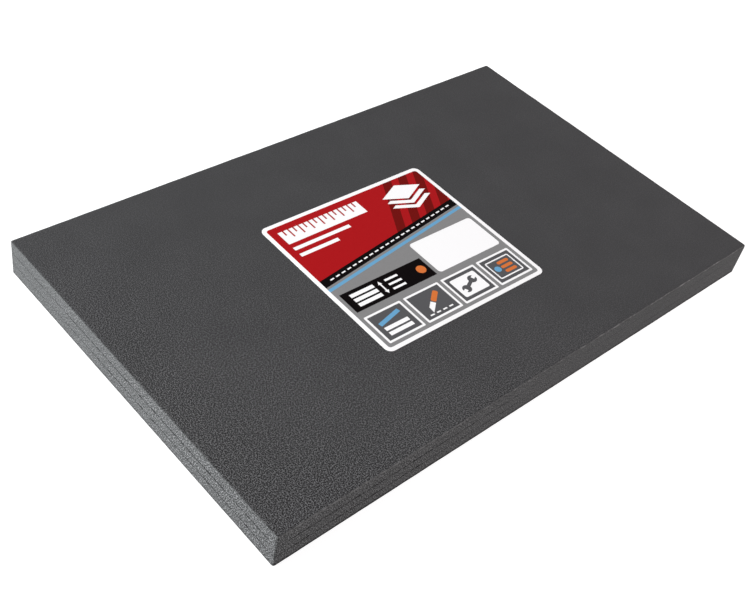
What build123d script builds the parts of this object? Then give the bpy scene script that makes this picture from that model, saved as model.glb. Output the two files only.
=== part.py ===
"""Foam case insert: three bonded foam plies, with a printed label stuck on the top one.

Lengths are in millimetres and angles in degrees. The origin is the centre of the base, +X runs
along the long side, +Y along the short side and +Z up through the plies. The print is laid out
flat round the label's own middle, and then set on the label's face by its plane.
"""

import os
from math import cos, radians, tan

from build123d import *

# Foam plies
insert_length = 507.0
insert_width = 312.0
ply_thickness = 10.0
corner_radius = 1.8  # upright corners, as a blade leaves them in foam
top_rim_radius = 1.3  # the top skin rolls over into the cut side
base_rim_radius = 0.6
seam_radius = 0.4  # two soft edges meet at each bond line and leave a fine groove

# Label
label_width = 166.0
label_height = 153.0
label_corner_radius = 5.5
label_thickness = 0.15
label_x = -9.8
label_y = -5.3
label_turn = -0.85  # it was stuck on by hand, so it isn't quite square to the foam

# Print: fields
border = 3.6  # bare label all round
print_corner_radius = 2.4
ink_thickness = 0.05
slant = 8.0  # of the red field's lower edge and of what runs along it
band_height = 8.0
rule_gap = 2.2  # between the band and the thin blue rule below it
rule_height = 2.8
gutter = 3.2  # between neighbouring boxes and round the printed area
panel_clearance = 2.2  # between the blue rule and the blank panel's nearest corner

# Print: red field
stripe_width = 8.0
stripe_pitch = 17.0
stripe_count = 5
stripe_lean = 30.0
scale_length = 80.0
scale_height = 15.0
tick_pitch = 5.0
tick_width = 1.3
long_tick = 9.5
short_tick = 5.5
line_height = 3.6
line_lengths = (56.0, 38.0)
line_pitch = 8.0
sheet_half_width = 21.0
sheet_half_height = 9.5
sheet_step = 6.6
sheet_gap = 2.4

# Print: cut line along the band, and in one of the small pictures
dash_length = 4.0
dash_pitch = 6.4
dash_height = 1.4
short_dash_count = 4

# Print: grey field
panel_width = 68.0
panel_height = 37.0
panel_radius = 3.0
box_height = 21.0
tile_count = 4
tile_height = 30.0
tile_frame = 2.0
tile_radius = 1.2

# Print: small pictures
bar_length = 23.0
bar_height = 3.6
bar_pitch = 5.2
peel_angle = 13.0
peel_gap = 1.0
blade_length = 11.0
handle_length = 12.0
handle_gap = 1.0
knife_width = 4.4
knife_angle = 40.0
spanner_reach = 6.4
jaw_radius = 3.9
jaw_gap = 3.0
shank_width = 3.0
spanner_angle = 28.0
block_width = 26.0
block_height = 20.0
block_radius = 1.6
tray_line = 1.3
recess_radius = 3.0
recess_length = 12.0
recess_pitch = 5.0
arrow_width = 4.6
dot_radius = 4.2
note_length = 13.0
note_height = 2.2
note_pitch = 5.2

# Places that follow from the sizes above
ply_names = ("foam_layer_bottom", "foam_layer_middle", "foam_layer_top")
stack_height = len(ply_names) * ply_thickness
print_width = label_width - 2 * border
print_height = label_height - 2 * border
tile_width = (print_width - (tile_count + 1) * gutter) / tile_count
tile_step = tile_width + gutter
tile_y = gutter + (tile_height - print_height) / 2
picture_width = tile_width - 2 * tile_frame
picture_height = tile_height - 2 * tile_frame
row_base = tile_y + tile_height / 2 + 2 * gutter  # lower edge of the panel and of the dark box
panel_x = print_width / 2 - gutter - panel_width / 2
panel_y = row_base + panel_height / 2
# The red field takes what the rows below leave: header_line is its slanted edge at the middle.
rule_drop = (band_height + rule_gap + rule_height + panel_clearance) / cos(radians(slant))
panel_left = panel_x - panel_width / 2
header_line = row_base + panel_height + rule_drop - panel_left * tan(radians(slant))
header_depth = print_height / 2 - header_line
dash_count = int((print_width - 2 * gutter) / dash_pitch)
box_width = print_width - panel_width - 3 * gutter
box_x = (box_width - print_width) / 2 + gutter
box_y = row_base + box_height / 2
bars_x = box_x - box_width / 2 + 2 * gutter + bar_length / 2
arrow_x = bars_x + bar_length / 2 + gutter + arrow_width / 2
arrow_reach = (bar_pitch * (len(ply_names) - 1) + bar_height) / 2
notes_x = arrow_x + arrow_width / 2 + gutter + note_length / 2
dot_x = box_x + box_width / 2 - gutter - dot_radius
scale_x = -print_width / 2 + 2 * gutter  # left edge of the scale and of the plain lines
scale_y = print_height / 2 - 2 * gutter - scale_height / 2
sheet_x = print_width / 2 - 3 * gutter - sheet_half_width
sheet_y = print_height / 2 - 2 * gutter - sheet_half_height
tile_x = [(place - (tile_count - 1) / 2) * tile_step for place in range(tile_count)]

label_plane = Plane((label_x, label_y, stack_height)).rotated((0, 0, label_turn))
print_plane = label_plane.offset(label_thickness)
slant_plane = Plane((0, header_line, 0)).rotated((0, 0, slant))


def finish(piece, node):
    """Labels a finished piece and writes it as a node of its own."""
    piece.part.label = node
    export_step(piece.part, f"parts/{node}.step")


os.makedirs("parts", exist_ok=True)

# ---------------------------------------------------------------- foam plies
lower_radii = (base_rim_radius, seam_radius, seam_radius)
upper_radii = (seam_radius, seam_radius, top_rim_radius)
for level, node in enumerate(ply_names):
    with BuildPart() as ply:
        with BuildSketch(Plane.XY.offset(level * ply_thickness)):
            RectangleRounded(insert_length, insert_width, corner_radius)
        extrude(amount=ply_thickness)
        fillet(ply.faces().sort_by(Axis.Z)[0].edges(), lower_radii[level])
        fillet(ply.faces().sort_by(Axis.Z)[-1].edges(), upper_radii[level])
    finish(ply, node)

# --------------------------------------------------------------------- label
with BuildPart() as label:
    with BuildSketch(label_plane):
        RectangleRounded(label_width, label_height, label_corner_radius)
    extrude(amount=label_thickness)
finish(label, "label")

# ------------------------------------------------- print: fields, laid out flat
with BuildSketch() as print_area:
    RectangleRounded(print_width, print_height, print_corner_radius)

with BuildSketch(slant_plane) as above_line:
    Rectangle(2 * print_width, print_height, align=(Align.CENTER, Align.MIN))

with BuildSketch(slant_plane) as below_line:
    Rectangle(2 * print_width, band_height, align=(Align.CENTER, Align.MAX))

with BuildSketch(slant_plane) as cut_dashes:
    with Locations((0, -band_height / 2)):
        with GridLocations(dash_pitch, dash_pitch, dash_count, 1):
            Rectangle(dash_length, dash_height)

with BuildSketch(slant_plane) as thin_rule:
    with Locations((0, -band_height - rule_gap)):
        Rectangle(2 * print_width, rule_height, align=(Align.CENTER, Align.MAX))

with BuildSketch() as header_field:
    add(above_line.sketch)
    add(print_area.sketch, mode=Mode.INTERSECT)

with BuildSketch() as band_field:
    add(below_line.sketch)
    add(print_area.sketch, mode=Mode.INTERSECT)

with BuildSketch() as blue_rule:
    add(thin_rule.sketch)
    add(print_area.sketch, mode=Mode.INTERSECT)

with BuildSketch() as dark_stripes:
    with Locations((sheet_x, header_line)):
        with GridLocations(stripe_pitch, stripe_pitch, stripe_count, 1):
            Rectangle(stripe_width, 3 * header_depth, rotation=-stripe_lean)
    add(header_field.sketch, mode=Mode.INTERSECT)

# ------------------------------------------------- print: marks on the red field
with BuildSketch() as measuring_scale:
    with Locations((scale_x, scale_y)):
        Rectangle(scale_length, scale_height, align=(Align.MIN, Align.CENTER))
    for tick in range(1, int(scale_length / tick_pitch)):
        with Locations((scale_x + tick * tick_pitch, scale_y + scale_height / 2)):
            tick_length = short_tick if tick % 2 else long_tick
            Rectangle(tick_width, tick_length, align=(Align.CENTER, Align.MAX), mode=Mode.SUBTRACT)

with BuildSketch() as plain_lines:
    for row, line_length in enumerate(line_lengths, start=1):
        with Locations((scale_x, scale_y - scale_height / 2 - row * line_pitch)):
            Rectangle(line_length, line_height, align=(Align.MIN, Align.MIN))

with BuildSketch() as sheet_stack:
    for depth in (2, 1, 0):
        with Locations((sheet_x, sheet_y - depth * sheet_step)):
            Polygon(
                (-sheet_half_width, 0),
                (0, sheet_half_height),
                (sheet_half_width, 0),
                (0, -sheet_half_height),
            )
        if depth:
            with Locations((sheet_x, sheet_y - (depth - 1) * sheet_step - sheet_gap)):
                Polygon(
                    (-sheet_half_width, 0),
                    (0, sheet_half_height),
                    (sheet_half_width, 0),
                    (0, -sheet_half_height),
                    mode=Mode.SUBTRACT,
                )

with BuildSketch() as header_marks:
    add(measuring_scale.sketch)
    add(plain_lines.sketch)
    add(sheet_stack.sketch)

# ------------------------------------------------- print: boxes on the grey field
with BuildSketch() as blank_panel:
    with Locations((panel_x, panel_y)):
        RectangleRounded(panel_width, panel_height, panel_radius)

with BuildSketch() as dark_box:
    with Locations((box_x, box_y)):
        Rectangle(box_width, box_height)

with BuildSketch() as tile_frames:
    with Locations((0, tile_y)):
        with GridLocations(tile_step, tile_step, tile_count, 1):
            RectangleRounded(tile_width, tile_height, tile_radius)

with BuildSketch() as tile_grounds:
    with Locations((0, tile_y)):
        with GridLocations(tile_step, tile_step, tile_count, 1):
            Rectangle(picture_width, picture_height)

# --------------------------------------- print: ply height, shown in the dark box
with BuildSketch() as box_marks:
    with Locations((bars_x, box_y)):
        with GridLocations(bar_pitch, bar_pitch, 1, len(ply_names)):
            Rectangle(bar_length, bar_height)
    with Locations((arrow_x, box_y)):
        Rectangle(arrow_width / 3, 2 * arrow_reach - arrow_width)
    for way in (1, -1):
        with Locations((arrow_x, box_y + way * (arrow_reach - arrow_width / 2))):
            RegularPolygon(arrow_width / 2, 3, rotation=90 * way, align=Align.CENTER)
    with Locations((notes_x, box_y)):
        with GridLocations(note_pitch, note_pitch, 1, len(ply_names)):
            Rectangle(note_length, note_height)

with BuildSketch() as box_dot:
    with Locations((dot_x, box_y)):
        Circle(dot_radius)

# ----------------------------------------------- print: four small pictures
with BuildSketch() as lower_plies:
    with Locations((tile_x[0], tile_y - bar_pitch)):
        with GridLocations(bar_pitch, bar_pitch, 1, len(ply_names) - 1):
            Rectangle(bar_length, bar_height)

with BuildSketch() as peeled_ply:
    with Locations((tile_x[0] - bar_length / 2, tile_y + peel_gap)):
        Rectangle(bar_length, bar_height, rotation=peel_angle, align=(Align.MIN, Align.MIN))

knife_plane = Plane((tile_x[1], tile_y, 0)).rotated((0, 0, knife_angle))
with BuildSketch(knife_plane) as knife_blade:
    Polygon(
        (0, knife_width / 2),
        (0, -knife_width / 2),
        (-blade_length, -knife_width / 2),
        (-blade_length + knife_width, knife_width / 2),
        align=None,
    )

with BuildSketch(knife_plane) as knife_handle:
    with Locations((handle_length / 2 + handle_gap, 0)):
        RectangleRounded(handle_length, knife_width, knife_width / 3)

with BuildSketch() as cut_line:
    with Locations((tile_x[1], tile_y - picture_height / 2 + gutter)):
        with GridLocations(dash_pitch, dash_pitch, short_dash_count, 1):
            Rectangle(dash_length, dash_height)

spanner_plane = Plane((tile_x[2], tile_y, 0)).rotated((0, 0, spanner_angle))
with BuildSketch(spanner_plane) as spanner:
    Rectangle(2 * spanner_reach, shank_width)
    with Locations((-spanner_reach, 0), (spanner_reach, 0)):
        Circle(jaw_radius)
    with Locations((-spanner_reach - jaw_radius, 0), (spanner_reach + jaw_radius, 0)):
        Rectangle(1.5 * jaw_radius, jaw_gap, mode=Mode.SUBTRACT)

with BuildSketch() as cut_pocket:
    with Locations((tile_x[2], tile_y)):
        RectangleRounded(block_width, block_height, block_radius)
    add(spanner.sketch, mode=Mode.SUBTRACT)

with BuildSketch() as tray_rim:
    with Locations((tile_x[3], tile_y)):
        RectangleRounded(block_width, block_height, block_radius)
    offset(amount=-tray_line, kind=Kind.INTERSECTION, mode=Mode.SUBTRACT)

with BuildSketch() as round_recess:
    with Locations((tile_x[3] - block_width / 2 + 2 * recess_radius, tile_y)):
        Circle(recess_radius)

with BuildSketch() as long_recesses:
    with Locations((tile_x[3] + recess_radius, tile_y)):
        with GridLocations(recess_pitch, recess_pitch, 1, 3):
            SlotOverall(recess_length, recess_radius)

# ------------------------------------------------------- print: one node an ink
with BuildSketch(print_plane) as red_ink:
    add(header_field.sketch)
    add(dark_stripes.sketch, mode=Mode.SUBTRACT)
    add(header_marks.sketch, mode=Mode.SUBTRACT)

with BuildSketch(print_plane) as dark_red_ink:
    add(dark_stripes.sketch)
    add(header_marks.sketch, mode=Mode.SUBTRACT)

with BuildSketch(print_plane) as black_ink:
    add(band_field.sketch)
    add(cut_dashes.sketch, mode=Mode.SUBTRACT)
    add(dark_box.sketch)
    add(box_marks.sketch, mode=Mode.SUBTRACT)
    add(box_dot.sketch, mode=Mode.SUBTRACT)

with BuildSketch(print_plane) as grey_ink:
    add(print_area.sketch)
    for region in (header_field, band_field, blue_rule, blank_panel, dark_box, tile_frames):
        add(region.sketch, mode=Mode.SUBTRACT)

with BuildSketch(print_plane) as dark_grey_ink:
    add(tile_grounds.sketch)
    for picture in (lower_plies, peeled_ply, knife_blade, knife_handle, cut_line, cut_pocket):
        add(picture.sketch, mode=Mode.SUBTRACT)
    for picture in (tray_rim, round_recess, long_recesses):
        add(picture.sketch, mode=Mode.SUBTRACT)

with BuildSketch(print_plane) as blue_ink:
    add(blue_rule.sketch)
    add(peeled_ply.sketch)
    add(round_recess.sketch)

with BuildSketch(print_plane) as orange_ink:
    add(box_dot.sketch)
    add(knife_handle.sketch)
    add(long_recesses.sketch)

inks = {
    "label_print_red": red_ink,
    "label_print_dark_red": dark_red_ink,
    "label_print_black": black_ink,
    "label_print_grey": grey_ink,
    "label_print_dark_grey": dark_grey_ink,
    "label_print_blue": blue_ink,
    "label_print_orange": orange_ink,
}
for node, ink in inks.items():
    with BuildPart() as film:
        add(ink.sketch)
        extrude(amount=ink_thickness)
    finish(film, node)
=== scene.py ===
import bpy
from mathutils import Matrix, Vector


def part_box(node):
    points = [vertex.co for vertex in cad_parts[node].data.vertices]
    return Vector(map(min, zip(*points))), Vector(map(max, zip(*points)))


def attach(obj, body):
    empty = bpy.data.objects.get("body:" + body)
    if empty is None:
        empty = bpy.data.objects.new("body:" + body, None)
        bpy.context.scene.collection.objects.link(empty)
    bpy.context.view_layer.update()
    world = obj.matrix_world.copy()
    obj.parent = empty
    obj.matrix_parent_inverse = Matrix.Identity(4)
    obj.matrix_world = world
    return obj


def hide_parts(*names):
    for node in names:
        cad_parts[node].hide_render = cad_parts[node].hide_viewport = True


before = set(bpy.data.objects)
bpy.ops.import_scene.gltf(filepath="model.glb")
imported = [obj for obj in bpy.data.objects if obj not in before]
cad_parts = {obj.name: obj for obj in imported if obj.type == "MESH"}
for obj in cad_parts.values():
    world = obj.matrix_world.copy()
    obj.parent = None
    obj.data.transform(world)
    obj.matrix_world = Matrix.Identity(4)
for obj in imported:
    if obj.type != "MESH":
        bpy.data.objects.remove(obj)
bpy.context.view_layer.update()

import math

import bmesh
import bpy
from bpy.props import FloatProperty, FloatVectorProperty, PointerProperty
from mathutils import Matrix, Vector, noise

bl_info = {
    "name": "Foam case insert",
    "version": (1, 0, 0),
    "blender": (4, 5, 0),
    "location": "3D View > Sidebar > Foam insert",
    "description": "Dresses a foam case insert: bonded plies with knife-cut edges, and a printed label",
    "category": "Object",
}

MM = 0.001
TINY = 1e-6
QUARTER_TURN = math.pi / 2
PLIES = ("bottom", "middle", "top")
BOTTOM, TOP = 0, 2
INKS = ("red", "dark_red", "black", "grey", "dark_grey", "blue", "orange")
LABEL_LOW, LABEL_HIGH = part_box("label")

# Mesh of a ply: columns and rows on its sides, and two rings and a grid on each of its faces.
CORNER_SEGMENTS = 5
ROW_CUTS = 25
ROWS_PER_RIM = 2.6  # how much closer the rows lie on a rim than between the rims
RING_STEP = 0.3 * MM  # where the rings are made, before they move in
RING_PLACES = (3 * MM, 7 * MM)
GRID_STEP = 6 * MM

# Unevenness: how long its patches are, and which layer of the noise it reads. Where each ply has its own,
# the layer goes up with the ply's level.
KNIFE_WANDER = (55 * MM, 3.7)
RIM_WOBBLE = (9 * MM, 5.3)
GROOVE_DASHES = (5 * MM, 2.1)
HIGHLIGHT_SPOTS = (3 * MM, 8.6)
TOP_HOLLOWS = (70 * MM, 1.9)
KNIFE_RIPPLE = 7 * MM
RIM_DENTS = 8 * MM

# Opened cells of the cut: how wide a cell opens, the way in which they get shallower from the near corner
# on, and by how much. They end short of the rims and of the upright corners.
CELL_OPENING = 0.62
RELIEF_WAY = (0.76, 0.65)
SHALLOWER = 0.65
RIM_FADE = 0.7 * MM
CORNER_FADE = (2 * MM, 5 * MM)

# How far a groove is pressed shut along the front, at the near corner and on the left side.
SHUT_FRONT = 0.85
SHUT_CORNER = 0.75
SHUT_LEFT = 0.4

# Painted shade in the grooves, and a painted shadow along the base.
SHADE_START, SHADE_END = 0.5, 1.3  # in radii of the groove's edge
MOST_GROOVE_SHADE = 0.9
BASE_SHADOW_REACH = 2.5 * MM
LEAST_BASE_SHADOW, FRONT_BASE_SHADOW = 0.3, 0.65  # all round, and added along the front

# Painted highlight on the top rim: a little all round, and at most along the front. The way in which the
# front rim is pushed.
LEAST_HIGHLIGHT, MOST_HIGHLIGHT = 0.05, 0.9
DENT_WAY = Vector((0, 0.85, -0.3))

# Grain of the foam: the way in which it fades from the near corner on, what is left of it at the end, how
# deep its pores look, and how wide the pores and how strong the grain are on the cut sides.
GRAIN_WAY = (0.7, 0.72, 0.0)
SKIN_GRAIN_LEFT, CUT_GRAIN_LEFT = 0.11, 0.2
SKIN_BUMP, CUT_BUMP = 0.14 * MM, 0.19 * MM
CUT_PORE = 1.1 * MM
CUT_GRAIN = 0.96

# Soft lights: place, aim, width, depth and tint. The camera: its place, and what is right, down and ahead.
KEY_LIGHT = ((-1.6, 1.05, 0.33), (0, 0, 0.015), 1.2, 0.7, "#fafdff")
FILL_LIGHT = ((1.35, -0.92, 0.58), (0.1, 0, 0.015), 1.0, 0.8, "#fff0f3")
TABLE_HALF_WIDTH = 8
TABLE_DROP = 0.1 * MM  # the table lies just clear of the base
CAMERA_PLACE = Vector((-0.5351, -0.4196, 0.5861))
CAMERA_RIGHT = Vector((0.73335, -0.66001, 0.16308))
CAMERA_DOWN = Vector((-0.36949, -0.58828, -0.71931))
CAMERA_AHEAD = Vector((0.57069, 0.46725, -0.67527))
CAMERA_LENS, CAMERA_SENSOR = 53.458, 36
WHITE = (1, 1, 1, 1)


def linear(hex_colour):
    """Turns an sRGB hex value into linear red, green and blue."""
    channels = [int(hex_colour[i:i + 2], 16) / 255 for i in (1, 3, 5)]
    return [c / 12.92 if c <= 0.04045 else ((c + 0.055) / 1.055) ** 2.4 for c in channels]


def colour_property(name, description, hex_colour):
    """A colour that the panel shows, with an sRGB default."""
    return FloatVectorProperty(
        name=name, description=description, default=linear(hex_colour),
        size=3, min=0, max=1, subtype="COLOR",
    )


def length_property(name, description, millimetres):
    """A length that the panel shows, with a default in millimetres."""
    return FloatProperty(
        name=name, description=description, default=millimetres * MM,
        min=0, unit="LENGTH", subtype="DISTANCE", precision=5,
    )


def strength_property(name, description, value, **limits):
    """A plain number from zero up, such as a strength."""
    return FloatProperty(name=name, description=description, default=value, min=0, **limits)


class FoamSettings(bpy.types.PropertyGroup):
    """Sizes and colours of the three foam plies."""

    corner_radius: length_property("Corner radius", "Rounding of the four upright corners", 1.8)
    top_rim: length_property("Top rim", "Mean rounding of the rim round the top", 0.7)
    base_rim: length_property("Base rim", "Mean rounding of the rim round the underside", 0.35)
    seam_rim: length_property("Seam rim", "Mean half width of the groove where two plies meet", 0.4)
    seam_depth: length_property("Seam depth", "Mean depth of the groove where two plies meet", 0.8)
    waviness: length_property("Waviness", "How far the knife cut wanders inwards", 0.2)
    cut_relief: length_property("Cut relief", "Depth of the opened cells on the cut edges", 0.11)
    cut_cell: length_property("Cut cell", "Width of an opened cell on the cut edges", 1.15)
    top_sag: length_property("Top sag", "Depth of the slow hollows in the top face", 0.07)
    rim_dent: length_property("Rim dent", "How far the long front rim is pushed in, in places", 0.9)
    column: length_property("Column width", "Spacing of the mesh along the cut edges", 0.6)
    skin_colour: colour_property("Skin colour", "Anthracite foam, top and underside", "#3c3c3d")
    skin_pore_colour: colour_property("Skin pore colour", "Dark bottom of a fine pore", "#0a0a0b")
    skin_crest_colour: colour_property("Skin crest colour", "Crests between the pores", "#6a6a6b")
    cut_colour: colour_property("Cut colour", "Opened cells on the cut edges", "#373838")
    cut_pore_colour: colour_property("Cut pore colour", "Dark bottom of an opened cell", "#101011")
    cut_wall_colour: colour_property("Cut wall colour", "Torn wall of an opened cell", "#717172")
    # Colour of the painted highlight along the top rim.
    rim_highlight_colour: colour_property("Worn colour", "Rubbed foam along the top rim", "#767676")
    skin_cell: length_property("Skin cell", "Width of a pore in the skin", 1.2)
    grain: strength_property("Grain", "Strength of the light and dark grain", 0.7, max=1, subtype="FACTOR")


class LabelSettings(bpy.types.PropertyGroup):
    """Colours of the label stock and its inks."""

    stock: colour_property("Stock", "Coated white paper", "#fafafa")
    red: colour_property("Red ink", "Field at the top", "#a61318")
    dark_red: colour_property("Dark red ink", "Slanted stripes", "#6e0c09")
    black: colour_property("Black ink", "Slanted band and dark box", "#080405")
    grey: colour_property("Grey ink", "Main field", "#838383")
    dark_grey: colour_property("Dark grey ink", "Grounds of the small pictures", "#555557")
    blue: colour_property("Blue ink", "Thin rule and small accents", "#66a0c6")
    orange: colour_property("Orange ink", "Dot and small accents", "#d27238")


class StageSettings(bpy.types.PropertyGroup):
    """Floor, lights and camera."""

    floor_colour: colour_property("Floor colour", "Opal white table", "#b4b4b4")
    floor_glow: strength_property("Floor glow", "Light that the table gives off by itself", 0.8)
    key_power: strength_property("Key power", "Low soft light on the left", 116, unit="POWER")
    fill_power: strength_property("Fill power", "Soft light in front, on the right", 19, unit="POWER")
    sky: strength_property("Sky", "Strength of the plain white surroundings", 0.45)


def socket(sockets, name):
    """The socket in use of that name: some nodes have one for each kind of value."""
    if isinstance(name, int):
        return sockets[name]
    return next(s for s in sockets if s.name == name and not s.is_unavailable)


def node(tree, kind, settings=(), links=()):
    """Adds one node, with its settings and its links."""
    made = tree.nodes.new(kind)
    for name, value in dict(settings).items():
        if isinstance(name, str) and name.islower():
            setattr(made, name, value)
        else:
            socket(made.inputs, name).default_value = value
    for name, source in dict(links).items():
        tree.links.new(source, socket(made.inputs, name))
    return made


def new_material(name):
    """Gives a material, its empty node tree and a plain object coordinate."""
    material = bpy.data.materials.new(name)
    material.use_nodes = True
    tree = material.node_tree
    tree.nodes.clear()
    place = node(tree, "ShaderNodeTexCoord").outputs["Object"]
    return material, tree, place


def finish_material(tree, settings, links, one_sided=False):
    """Adds the surface shader. A one-sided surface can be looked through from behind."""
    shader = node(tree, "ShaderNodeBsdfPrincipled", settings, links).outputs["BSDF"]
    if one_sided:
        behind = node(tree, "ShaderNodeNewGeometry").outputs["Backfacing"]
        clear = node(tree, "ShaderNodeBsdfTransparent").outputs["BSDF"]
        mixed = node(tree, "ShaderNodeMixShader", links={0: behind, 1: shader, 2: clear})
        shader = mixed.outputs["Shader"]
    node(tree, "ShaderNodeOutputMaterial", links={"Surface": shader})


# Cross-linked polyethylene foam, extruded: its closed skin is matt and finely pebbled, and gives the eye an
# even dull black-grey with a salt-and-pepper grain of tiny pores. The real pores are 0.3 to 0.6 mm wide;
# they are drawn 1.2 mm wide, and 1.1 mm on the cut sides, or they would not show. The grain is strongest
# at the near corner of the sheet, and fades away from it.
# Cut through with a knife, the cells lie open: their torn walls catch the light, so the edge is lighter
# and rougher than the skin. A painted highlight lightens the top rim, strongest along the front; painted
# shade darkens the grooves between the plies, and a painted shadow darkens the base.
def foam_material(name, colours, pore_width, relief, grain, is_cut):
    """Foam in its body, pore and crest colours, and the colour of the painted highlight on the top rim. The
    pore colour is also painted as shade in the grooves and along the base. A cut side's grain follows the
    way round the ply.
    """
    material, tree, place = new_material(name)
    body, pore, crest, highlight = colours
    flat = place
    if is_cut:
        flat = node(tree, "ShaderNodeAttribute", {"attribute_name": "unrolled"}).outputs["Vector"]

    along = node(tree, "ShaderNodeVectorMath", {"operation": "DOT_PRODUCT", 1: GRAIN_WAY}, {0: place})
    coarse = node(
        tree, "ShaderNodeMapRange",
        {"interpolation_type": "SMOOTHSTEP", "From Min": -0.25, "From Max": 0.02,
         "To Min": 1.02, "To Max": CUT_GRAIN_LEFT if is_cut else SKIN_GRAIN_LEFT},
        {"Value": along.outputs["Value"]},
    )
    cells = node(
        tree, "ShaderNodeTexVoronoi",
        {"voronoi_dimensions": "2D", "Scale": 1 / pore_width, "Randomness": 0.85},
        {"Vector": flat},
    )
    hollow = node(
        tree, "ShaderNodeMapRange",
        {"interpolation_type": "SMOOTHSTEP", "From Min": 0.1, "From Max": 0.6,
         "To Min": -1.1, "To Max": 0.6},
        {"Value": cells.outputs["Distance"]},
    )
    fine = node(
        tree, "ShaderNodeTexNoise",
        {"noise_dimensions": "2D", "Scale": 1.5 / pore_width, "Detail": 1.0},
        {"Vector": flat},
    )
    dust = node(
        tree, "ShaderNodeMapRange", {"From Min": 0.3, "From Max": 0.7, "To Min": -0.9, "To Max": 1.0},
        {"Value": fine.outputs["Fac"]},
    )
    speck = node(
        tree, "ShaderNodeMath", {"operation": "ADD"},
        {0: hollow.outputs["Result"], 1: dust.outputs["Result"]},
    )
    strong = node(
        tree, "ShaderNodeMath", {"operation": "MULTIPLY"},
        {0: speck.outputs["Value"], 1: coarse.outputs["Result"]},
    )

    # Slow patches, some centimetres wide, lighten and darken the whole a little.
    patches = node(tree, "ShaderNodeTexNoise", {"Scale": 1 / (38 * MM), "Detail": 3.0}, {"Vector": place})
    drift = node(
        tree, "ShaderNodeMapRange", {"From Min": 0.3, "From Max": 0.7, "To Min": 0.48, "To Max": 0.52},
        {"Value": patches.outputs["Fac"]},
    )
    tone = node(
        tree, "ShaderNodeMath", {"operation": "MULTIPLY_ADD", 1: grain / 2},
        {0: strong.outputs["Value"], 2: drift.outputs["Result"]},
    )
    colour = node(tree, "ShaderNodeValToRGB", links={"Fac": tone.outputs["Value"]})
    stops = colour.color_ramp.elements
    stops[0].color, stops[1].color = [*pore, 1], [*crest, 1]
    stops.new(0.5).color = [*body, 1]

    # Painted highlight along the top rim, in the highlight colour.
    rim = node(tree, "ShaderNodeAttribute", {"attribute_name": "painted_rim_highlight"})
    highlighted = node(
        tree, "ShaderNodeMix", {"data_type": "RGBA", "B": [*highlight, 1]},
        {"Factor": rim.outputs["Fac"], "A": colour.outputs["Color"]},
    )
    # Painted shade in the grooves and a painted shadow along the base, both in the pore colour.
    shade_node = node(tree, "ShaderNodeAttribute", {"attribute_name": "painted_shade"})
    shaded = node(
        tree, "ShaderNodeMix", {"data_type": "RGBA", "B": [*pore, 1]},
        {"Factor": shade_node.outputs["Fac"], "A": socket(highlighted.outputs, "Result")},
    )

    height = node(
        tree, "ShaderNodeMath", {"operation": "MULTIPLY_ADD", 1: 0.6},
        {0: fine.outputs["Fac"], 2: hollow.outputs["Result"]},
    )
    bump = node(
        tree, "ShaderNodeBump", {"Distance": relief},
        {"Height": height.outputs["Value"], "Strength": coarse.outputs["Result"]},
    )
    each_cell = node(tree, "ShaderNodeSeparateColor", links={"Color": cells.outputs["Color"]})
    rough = node(
        tree, "ShaderNodeMapRange", {"To Min": 0.78, "To Max": 0.94},
        {"Value": each_cell.outputs["Green"]},
    )
    finish_material(
        tree,
        {"IOR": 1.5, "Specular IOR Level": 0.15, "Sheen Weight": 0.02, "Sheen Roughness": 0.6},
        {"Base Color": socket(shaded.outputs, "Result"), "Roughness": rough.outputs["Result"],
         "Normal": bump.outputs["Normal"]},
    )
    return material


# Self-adhesive label stock: coated white paper, calendered smooth. It gives the eye a clean white with a
# soft low gloss that changes very slowly, and fibres about a millimetre long that hardly show.
def stock_material(colour):
    """The label's paper."""
    material, tree, place = new_material("coated_white_paper")
    fibre = node(tree, "ShaderNodeTexNoise", {"Scale": 1 / (1.2 * MM), "Detail": 3.0}, {"Vector": place})
    waves = node(tree, "ShaderNodeTexNoise", {"Scale": 1 / (14 * MM), "Detail": 2.0}, {"Vector": place})
    shade = node(
        tree, "ShaderNodeMix",
        {"data_type": "RGBA", "A": [*colour, 1], "B": [c * 0.97 for c in colour] + [1]},
        {"Factor": fibre.outputs["Fac"]},
    )
    rough = node(
        tree, "ShaderNodeMapRange", {"From Min": 0.3, "From Max": 0.7, "To Min": 0.42, "To Max": 0.5},
        {"Value": waves.outputs["Fac"]},
    )
    bump = node(
        tree, "ShaderNodeBump", {"Strength": 0.25, "Distance": 0.02 * MM}, {"Height": fibre.outputs["Fac"]}
    )
    finish_material(
        tree, {"IOR": 1.48, "Specular IOR Level": 0.3},
        {"Base Color": socket(shade.outputs, "Result"), "Roughness": rough.outputs["Result"],
         "Normal": bump.outputs["Normal"]},
    )
    return material


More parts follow.
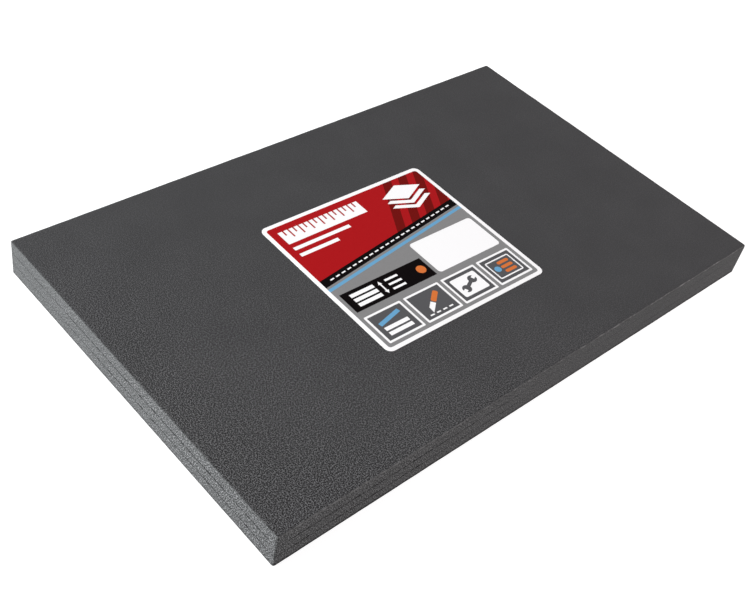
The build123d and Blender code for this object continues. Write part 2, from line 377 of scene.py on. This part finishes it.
# Offset ink on coated paper under a thin clear varnish: dense, even colour with a faint mottle about a
# millimetre wide, where the ink sank in unevenly, and a soft satin gloss.
def ink_material(name, colour):
    """One ink of the print."""
    material, tree, place = new_material(name)
    mottle = node(
        tree, "ShaderNodeTexNoise", {"Scale": 1 / (1.1 * MM), "Detail": 2.0, "Roughness": 0.6},
        {"Vector": place},
    )
    thin, dense = [min(1, c * 1.07 + 0.002) for c in colour], [c * 0.93 for c in colour]
    shade = node(
        tree, "ShaderNodeMix", {"data_type": "RGBA", "A": dense + [1], "B": thin + [1]},
        {"Factor": mottle.outputs["Fac"]},
    )
    rough = node(
        tree, "ShaderNodeMapRange", {"From Min": 0.3, "From Max": 0.7, "To Min": 0.36, "To Max": 0.46},
        {"Value": mottle.outputs["Fac"]},
    )
    bump = node(
        tree, "ShaderNodeBump", {"Strength": 0.2, "Distance": 0.015 * MM}, {"Height": mottle.outputs["Fac"]}
    )
    finish_material(
        tree, {"IOR": 1.5, "Specular IOR Level": 0.03},
        {"Base Color": socket(shade.outputs, "Result"), "Roughness": rough.outputs["Result"],
         "Normal": bump.outputs["Normal"]},
    )
    return material


def dress(cad_node, material):
    """Gives a CAD node's own mesh its finish."""
    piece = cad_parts[cad_node]
    if not piece.material_slots:
        piece.data.materials.append(material)
    for slot in piece.material_slots:
        slot.material = material


def smooth_step(low, high, value):
    """Rises softly from 0 at low to 1 at high, which may be the smaller of the two."""
    share = min(max((value - low) / (high - low), 0), 1)
    return share * share * (3 - 2 * share)


def patchy(place, unevenness, level=1):
    """Smooth noise between about -1 and 1 that changes with the place, seen from above."""
    size, layer = unevenness
    return noise.noise(Vector((place.x / size, place.y / size, layer * level)))


def new_piece(bm, name):
    """Turns a finished bmesh into an object of the scene."""
    mesh = bpy.data.meshes.new(name)
    bm.to_mesh(mesh)
    bm.free()
    piece = bpy.data.objects.new(mesh.name, mesh)
    bpy.context.scene.collection.objects.link(piece)
    return piece


def tube(settings, low, high):
    """The sides of a ply as an open tube with rounded corners, in fine columns and rows."""
    bm = bmesh.new()
    bmesh.ops.create_cube(bm, size=1)
    bmesh.ops.scale(bm, vec=high - low, verts=bm.verts)
    bmesh.ops.translate(bm, vec=(low + high) / 2, verts=bm.verts)
    bmesh.ops.bevel(
        bm, geom=upright_edges(bm), offset=settings.corner_radius, offset_type="OFFSET",
        segments=CORNER_SEGMENTS, profile=0.5, affect="EDGES", material=-1,
    )
    ends = [f for f in bm.faces if abs(f.normal.z) > 0.9]
    bmesh.ops.delete(bm, geom=ends, context="FACES_ONLY")
    for axis in (0, 1):
        runs = [e for e in bm.edges if abs(e.verts[0].co[axis] - e.verts[1].co[axis]) > 50 * MM]
        cuts = round(runs[0].calc_length() / settings.column) - 1
        bmesh.ops.subdivide_edges(bm, edges=runs, cuts=cuts)
    bmesh.ops.subdivide_edges(bm, edges=upright_edges(bm), cuts=ROW_CUTS)
    return bm


def upright_edges(bm):
    """The edges that run from one face of the ply to the other."""
    return [e for e in bm.edges if abs(e.verts[0].co.z - e.verts[1].co.z) > MM]


def close_tube(bm, radius, low, high):
    """Closes both ends with two rings and a grid, and gives back the vertices that lie on the sides."""
    for z in (low.z, high.z):
        rim = [e for e in bm.edges if e.is_boundary and all(abs(v.co.z - z) < TINY for v in e.verts)]
        end = bmesh.ops.contextual_create(bm, geom=rim)["faces"]
        for _ in RING_PLACES:
            bmesh.ops.inset_region(bm, faces=end, thickness=RING_STEP, use_even_offset=True)
    side, rings = [], []
    for vertex in bm.verts:
        depth = radius - (vertex.co - arc_centre(vertex.co, low, high, radius)).length
        if depth < 0.5 * RING_STEP:
            side.append(vertex)
            continue
        rings.append(vertex)
        distance = RING_PLACES[0] if depth < 1.5 * RING_STEP else RING_PLACES[1]
        for axis in (0, 1):
            vertex.co[axis] = min(max(vertex.co[axis], low[axis] + distance), high[axis] - distance)
    bmesh.ops.remove_doubles(bm, verts=rings, dist=TINY)
    for face in many_sided(bm):
        lay_grid(bm, face, low, high)
    # The grid's outer cells have many corners on the side of the ring.
    bmesh.ops.poke(bm, faces=many_sided(bm))
    bmesh.ops.recalc_face_normals(bm, faces=bm.faces)
    return side


def many_sided(bm):
    """The faces with more than four corners."""
    return [f for f in bm.faces if len(f.verts) > 4]


def lay_grid(bm, face, low, high):
    """Cuts one large face into a grid, so that it shades evenly and can carry slow hollows."""
    geometry = [face, *face.edges, *face.verts]
    for axis, across in enumerate((Vector((1, 0, 0)), Vector((0, 1, 0)))):
        count = round((high[axis] - low[axis]) / GRID_STEP)
        for i in range(1, count):
            place = across * (low[axis] + (high[axis] - low[axis]) * i / count)
            cut = bmesh.ops.bisect_plane(bm, geom=geometry, dist=TINY, plane_co=place, plane_no=across)
            geometry = cut["geom"]


def arc_centre(place, low, high, radius):
    """The nearest point to a place on the line that lies one corner radius inside the outline."""
    inner = [min(max(place[axis], low[axis] + radius), high[axis] - radius) for axis in (0, 1)]
    return Vector((*inner, place.z))


def way_round(place, low, high, radius):
    """How far round the outline a place on the side lies, counter-clockwise from the far right corner."""
    slack = 1e-4
    centre = arc_centre(place, low, high, radius)
    turn = math.atan2(place.y - centre.y, place.x - centre.x) % math.tau
    turn += math.tau if turn < QUARTER_TURN - slack else 0
    length, depth = high.x - low.x - 2 * radius, high.y - low.y - 2 * radius
    if turn < math.pi + slack:
        straight = high.x - radius - centre.x + high.y - radius - centre.y
    elif turn < 3 * QUARTER_TURN + slack:
        straight = length + depth + centre.x - low.x - radius
    elif turn < math.tau + slack:
        straight = 2 * length + depth + centre.y - low.y - radius
    else:
        straight = 2 * length + 2 * depth
    return straight + radius * (turn - QUARTER_TURN)


def rim_profile(share, height, lower, upper):
    """Where one row of the side goes: how far in from the face, and how high, in the unit of height."""
    low_arc, high_arc = (radius * QUARTER_TURN * ROWS_PER_RIM for radius in (lower, upper))
    wall = height - lower - upper
    run = share * (low_arc + wall + high_arc)
    if run < low_arc:
        turn = run / low_arc * QUARTER_TURN
        return lower * (1 - math.sin(turn)), lower * (1 - math.cos(turn))
    if run < low_arc + wall:
        return 0.0, lower + run - low_arc
    turn = (run - low_arc - wall) / high_arc * QUARTER_TURN
    return upper * (1 - math.cos(turn)), height - upper + upper * math.sin(turn)


def cut_depth(settings, place, level):
    """How far the knife and the opened cells lie inside the nominal face at a place on the edge."""
    wander = 0.5 + 0.5 * patchy(place, KNIFE_WANDER, level)
    ripple = 0.5 + 0.5 * noise.noise(place / KNIFE_RIPPLE + Vector((0, 0, 11 * level)))
    to_cell = noise.voronoi(place / settings.cut_cell)[0][0]
    opened = max(0.0, 1 - to_cell / CELL_OPENING)
    finer = 1 - SHALLOWER * smooth_step(-270 * MM, 0, RELIEF_WAY[0] * place.x + RELIEF_WAY[1] * place.y)
    return settings.waviness * (0.6 * wander + 0.4 * ripple), settings.cut_relief * opened * finer


def openness(place, low, high):
    """How much of a groove is left: it is pressed shut along the front's far half, by the near corner and in
    part towards the left side's far end."""
    from_front, from_left = place.y - low.y, place.x - low.x
    front = 1 - smooth_step(2 * MM, 6 * MM, from_front)
    far = smooth_step(0.2, 0.68, from_left / (high.x - low.x))
    by_corner = 1 - smooth_step(4 * MM, 14 * MM, from_front)
    corner = by_corner * (1 - smooth_step(1 * MM, 3 * MM, from_left))
    left = (1 - smooth_step(2 * MM, 6 * MM, from_left)) * smooth_step(20 * MM, 140 * MM, place.y)
    return 1 - max(SHUT_FRONT * front * far, SHUT_CORNER * corner, SHUT_LEFT * left)


def rim_highlight_and_dent(settings, place, rise, height, low):
    """How strong the painted highlight on the top rim is at a place, from 0 to 1, and how far the rim is
    pushed in and down there.
    """
    front = smooth_step(low.y + 6 * MM, low.y, place.y)
    near = 1 - smooth_step(-200 * MM, -50 * MM, place.x)
    spots = (0.9 + 0.6 * near) * max(0.0, patchy(place, HIGHLIGHT_SPOTS))
    on_edge = smooth_step(height - 0.9 * MM, height - 0.3 * MM, rise)
    # The painted highlight lies on the rim's edge, in broken spots, strongest along the front and by the
    # near corner.
    highlight = on_edge * (LEAST_HIGHLIGHT + front * min(MOST_HIGHLIGHT, 0.24 + 0.2 * near + spots))
    dent = 0.5 + 0.5 * noise.noise(Vector((place.x / RIM_DENTS, 4.4, 0.9)))
    by_rim = smooth_step(height - 3 * MM, height, rise)
    pushed = settings.rim_dent * dent * dent * front * (1 - 0.7 * near) * by_rim
    return highlight if rise < height - TINY else 0.0, pushed * DENT_WAY


def cut_side(bm, side, settings, level, low, high):
    """Moves the vertices of a ply's sides to its rims, grooves and opened cells, and stores for the material
    how strong the painted highlight on the top rim, the painted shade in the grooves and the painted shadow
    along the base are, and how far round the ply each one is."""
    highlight_layer = bm.verts.layers.float["painted_rim_highlight"]
    shade_layer = bm.verts.layers.float["painted_shade"]
    unrolled = bm.verts.layers.float_vector["unrolled"]
    radius = settings.corner_radius
    height = high.z - low.z
    for vertex in side:
        place = vertex.co.copy()
        out = (place - arc_centre(place, low, high, radius)).normalized()
        share = (place.z - low.z) / height
        vertex[unrolled] = way_round(place, low, high, radius), place.z, level

        wobble = patchy(place, RIM_WOBBLE, level)
        dash = abs(patchy(place, GROOVE_DASHES))
        left_open = openness(place, low, high)
        groove = settings.seam_rim * (0.6 + 1.8 * dash) * left_open
        lower = settings.base_rim * (1 + 0.4 * wobble) if level == BOTTOM else groove
        upper = settings.top_rim * (1 + 0.35 * wobble) if level == TOP else groove
        inset, rise = rim_profile(share, height, lower, upper)
        if (level > BOTTOM and rise < lower) or (level < TOP and rise > height - upper):
            inset *= settings.seam_depth / settings.seam_rim

        # Painted shade in the grooves, darker where a groove is open and wide, and a painted shadow along
        # the base, darkest along the front.
        reach = BASE_SHADOW_REACH if level == BOTTOM else lower
        below = 1 - smooth_step(SHADE_START * reach, SHADE_END * reach, rise)
        above = 0
        if level < TOP:
            above = smooth_step(height - SHADE_END * upper, height - SHADE_START * upper, rise)
        groove_shade = min(MOST_GROOVE_SHADE, 0.4 + 2.4 * dash) * left_open
        base_shadow = LEAST_BASE_SHADOW + FRONT_BASE_SHADOW * smooth_step(0.6, 0.97, -out.y)
        vertex[shade_layer] = max(below * (base_shadow if level == BOTTOM else groove_shade), above * groove_shade)

        place.z = low.z + rise
        knife, cells = cut_depth(settings, place, level)
        cells *= smooth_step(0, RIM_FADE, rise) * smooth_step(0, RIM_FADE, height - rise)
        from_ends = min(place.x - low.x, high.x - place.x)
        from_sides = min(place.y - low.y, high.y - place.y)
        cells *= smooth_step(*CORNER_FADE, math.hypot(from_ends, from_sides))
        vertex.co = place - out * (inset + knife + cells)
        if level == TOP:
            # The painted highlight on the top rim, and the dent that pushes the front rim in.
            vertex[highlight_layer], pushed = rim_highlight_and_dent(settings, place, rise, height, low)
            vertex.co += pushed


def sink_top(settings, vertices, low, high):
    """Lets the open part of the top face sag in slow hollows, and keeps it flat under the label."""
    for vertex in vertices:
        x, y = vertex.co.x, vertex.co.y
        from_rim = min(x - low.x, high.x - x, y - low.y, high.y - y)
        from_label = max(LABEL_LOW.x - x, x - LABEL_HIGH.x, LABEL_LOW.y - y, y - LABEL_HIGH.y)
        free = smooth_step(1 * MM, 14 * MM, from_rim) * smooth_step(1 * MM, 16 * MM, from_label)
        hollow = 0.5 + 0.5 * patchy(vertex.co, TOP_HOLLOWS)
        vertex.co.z -= settings.top_sag * hollow * free


def build_ply(settings, level, cut, skin):
    """Models one ply of foam: its cut sides with rims, grooves and opened cells, and its two faces."""
    name = f"foam_layer_{PLIES[level]}"
    low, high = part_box(name)
    bm = tube(settings, low, high)
    bm.verts.layers.float.new("painted_rim_highlight")
    bm.verts.layers.float.new("painted_shade")
    bm.verts.layers.float_vector.new("unrolled")
    side = close_tube(bm, settings.corner_radius, low, high)
    skin_height = high.z if level == TOP else low.z
    for face in bm.faces:
        face.smooth = True
        is_flat = abs(face.normal.z) > 0.5
        face.material_index = int(is_flat and abs(face.calc_center_median().z - skin_height) < MM)
    cut_side(bm, side, settings, level, low, high)
    if level == TOP:
        sink_top(settings, [v for v in bm.verts if v.co.z > high.z - TINY], low, high)
    piece = new_piece(bm, f"foam_ply_{PLIES[level]}")
    piece.data.materials.append(cut)
    piece.data.materials.append(skin)
    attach(piece, "root")
    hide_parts(name)


class FOAMINSERT_OT_plies(bpy.types.Operator):
    """Models the three bonded foam plies and gives them their finish"""

    bl_idname = "foaminsert.plies"
    bl_label = "Foam plies"

    def execute(self, context):
        s = context.scene.foam_insert_foam
        cut_colours = (s.cut_colour, s.cut_pore_colour, s.cut_wall_colour, s.rim_highlight_colour)
        skin_colours = (s.skin_colour, s.skin_pore_colour, s.skin_crest_colour, s.rim_highlight_colour)
        cut = foam_material(
            "knife_cut_polyethylene_foam", cut_colours, CUT_PORE, CUT_BUMP, CUT_GRAIN * s.grain, True
        )
        skin = foam_material(
            "extruded_polyethylene_foam_skin", skin_colours, s.skin_cell, SKIN_BUMP, s.grain, False
        )
        for level in range(len(PLIES)):
            build_ply(s, level, cut, skin)
        return {"FINISHED"}


class FOAMINSERT_OT_label(bpy.types.Operator):
    """Gives the label its paper, and each ink of the print its colour"""

    bl_idname = "foaminsert.label"
    bl_label = "Label and print"

    def execute(self, context):
        settings = context.scene.foam_insert_label
        dress("label", stock_material(settings.stock))
        for ink in INKS:
            dress(f"label_print_{ink}", ink_material(f"offset_ink_{ink}", getattr(settings, ink)))
        return {"FINISHED"}


# Opal acrylic sheet, cast with a satin face and lit a little from below: it gives the eye an even white
# with hardly a shadow.
def lay_table(settings):
    """Lays the table that the insert lies on."""
    bm = bmesh.new()
    bmesh.ops.create_grid(bm, x_segments=1, y_segments=1, size=TABLE_HALF_WIDTH)
    bmesh.ops.translate(bm, vec=(0, 0, -TABLE_DROP), verts=bm.verts)
    table = new_piece(bm, "table")
    material, tree, place = new_material("opal_acrylic_sheet")
    haze = node(tree, "ShaderNodeTexNoise", {"Scale": 3.0}, {"Vector": place})
    rough = node(tree, "ShaderNodeMapRange", {"To Min": 0.5, "To Max": 0.7}, {"Value": haze.outputs["Fac"]})
    finish_material(
        tree,
        {"Base Color": [*settings.floor_colour, 1], "Specular IOR Level": 0.0,
         "Emission Color": WHITE, "Emission Strength": settings.floor_glow},
        {"Roughness": rough.outputs["Result"]}, one_sided=True,
    )
    table.data.materials.append(material)


def soft_light(name, power, place, aim, width, depth, tint):
    """Hangs one large soft light that looks at a point."""
    lamp = bpy.data.lights.new(name, "AREA")
    lamp.shape, lamp.color = "RECTANGLE", linear(tint)
    lamp.size, lamp.size_y, lamp.energy = width, depth, power
    light = bpy.data.objects.new(name, lamp)
    light.location = place
    light.rotation_euler = (Vector(aim) - Vector(place)).to_track_quat("-Z", "Y").to_euler()
    bpy.context.scene.collection.objects.link(light)


def white_room(strength):
    """Puts plain white surroundings round the table. Their light is dim, but the eye sees the same white
    behind the table as on it."""
    world = bpy.data.worlds.new("white_room")
    world.use_nodes = True
    tree = world.node_tree
    tree.nodes.clear()
    light = node(tree, "ShaderNodeBackground", {"Color": WHITE, "Strength": strength})
    wall = node(tree, "ShaderNodeBackground", {"Color": WHITE})
    seen = node(tree, "ShaderNodeLightPath").outputs["Is Camera Ray"]
    room = node(
        tree, "ShaderNodeMixShader",
        links={0: seen, 1: light.outputs["Background"], 2: wall.outputs["Background"]},
    )
    node(tree, "ShaderNodeOutputWorld", links={"Surface": room.outputs["Shader"]})
    return world


def stand_camera():
    """Stands the camera above the near left corner."""
    eye = bpy.data.cameras.new("camera")
    eye.lens, eye.sensor_width = CAMERA_LENS, CAMERA_SENSOR
    camera = bpy.data.objects.new("camera", eye)
    turn = Matrix((CAMERA_RIGHT, -CAMERA_DOWN, -CAMERA_AHEAD)).transposed().to_4x4()
    camera.matrix_world = Matrix.Translation(CAMERA_PLACE) @ turn
    bpy.context.scene.collection.objects.link(camera)
    return camera


class FOAMINSERT_OT_stage(bpy.types.Operator):
    """Sets the pale table, the soft lights and the camera"""

    bl_idname = "foaminsert.stage"
    bl_label = "Table, lights and camera"

    def execute(self, context):
        settings = context.scene.foam_insert_stage
        lay_table(settings)
        soft_light("key_left", settings.key_power, *KEY_LIGHT)
        soft_light("fill_front", settings.fill_power, *FILL_LIGHT)
        context.scene.world = white_room(settings.sky)
        context.scene.view_settings.view_transform = "Standard"
        context.scene.camera = stand_camera()
        return {"FINISHED"}


class FOAMINSERT_PT_panel(bpy.types.Panel):
    """Lists the steps that build the foam insert"""

    bl_idname = "FOAMINSERT_PT_panel"
    bl_label = "Foam insert"
    bl_space_type = "VIEW_3D"
    bl_region_type = "UI"
    bl_category = "Foam insert"

    def draw(self, context):
        for operator, name in zip(OPERATORS, SETTINGS):
            self.layout.operator(operator.bl_idname)
            settings = getattr(context.scene, name)
            for entry in settings.__annotations__:
                self.layout.prop(settings, entry)


OPERATORS = (FOAMINSERT_OT_plies, FOAMINSERT_OT_label, FOAMINSERT_OT_stage)
SETTINGS = {
    "foam_insert_foam": FoamSettings,
    "foam_insert_label": LabelSettings,
    "foam_insert_stage": StageSettings,
}


def register():
    for name, group in SETTINGS.items():
        bpy.utils.register_class(group)
        setattr(bpy.types.Scene, name, PointerProperty(type=group))
    for shown in (*OPERATORS, FOAMINSERT_PT_panel):
        bpy.utils.register_class(shown)


def unregister():
    for shown in (FOAMINSERT_PT_panel, *reversed(OPERATORS)):
        bpy.utils.unregister_class(shown)
    for name, group in reversed(SETTINGS.items()):
        delattr(bpy.types.Scene, name)
        bpy.utils.unregister_class(group)


def main():
    register()
    bpy.ops.foaminsert.plies()
    bpy.ops.foaminsert.label()
    bpy.ops.foaminsert.stage()


if __name__ == "__main__":
    main()
